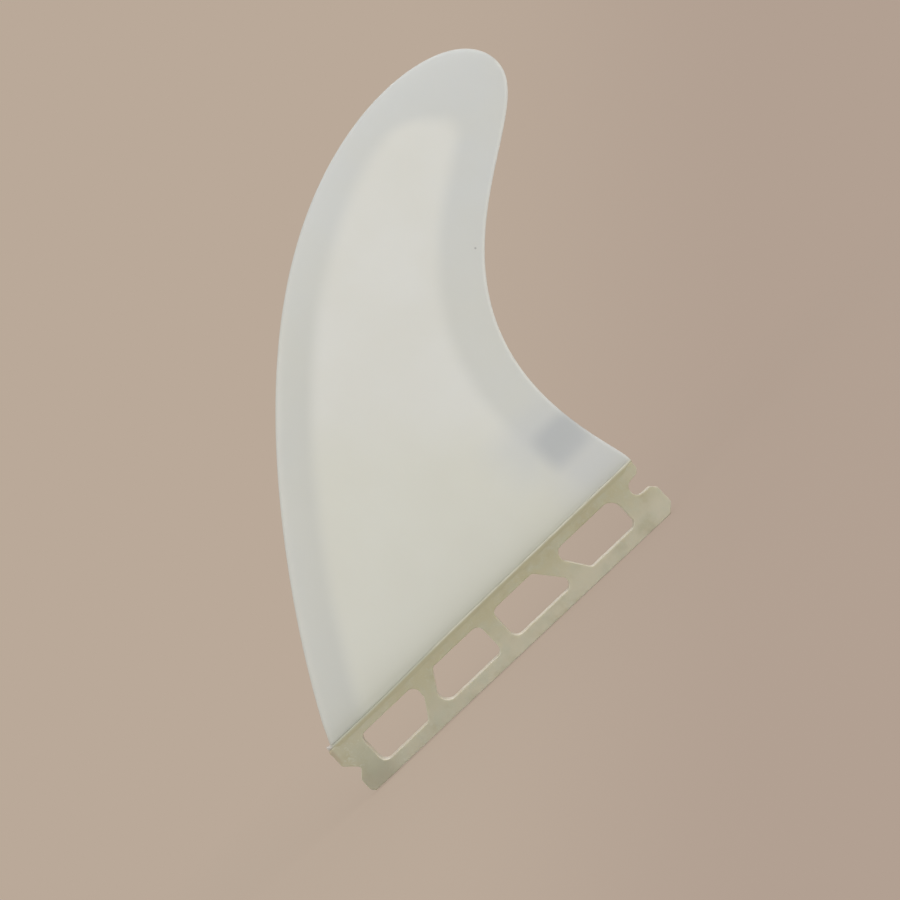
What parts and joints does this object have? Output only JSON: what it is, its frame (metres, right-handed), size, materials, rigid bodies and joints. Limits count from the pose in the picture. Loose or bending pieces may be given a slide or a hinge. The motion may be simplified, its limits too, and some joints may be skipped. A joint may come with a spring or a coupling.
{
  "type": "surfboard fin",
  "caption": "Swept, foiled surfboard fin moulded in one piece with a long windowed base tab that locks into a slot in the board.",
  "frame": {"origin": "middle of the tab's length and thickness, on the plane of the board's surface, where blade and tab meet", "axes": "+X from the leading edge to the trailing edge along the board, +Y through the fin's thickness, +Z from the board to the tip"},
  "size_m": [0.1634, 0.0076, 0.1377],
  "materials": {
    "laminate": "smooth white skin over glass fibre, raw and greenish on the tab"
  },
  "bodies": {
    "root": {"fin": "laminate"}
  },
  "joints": []
}
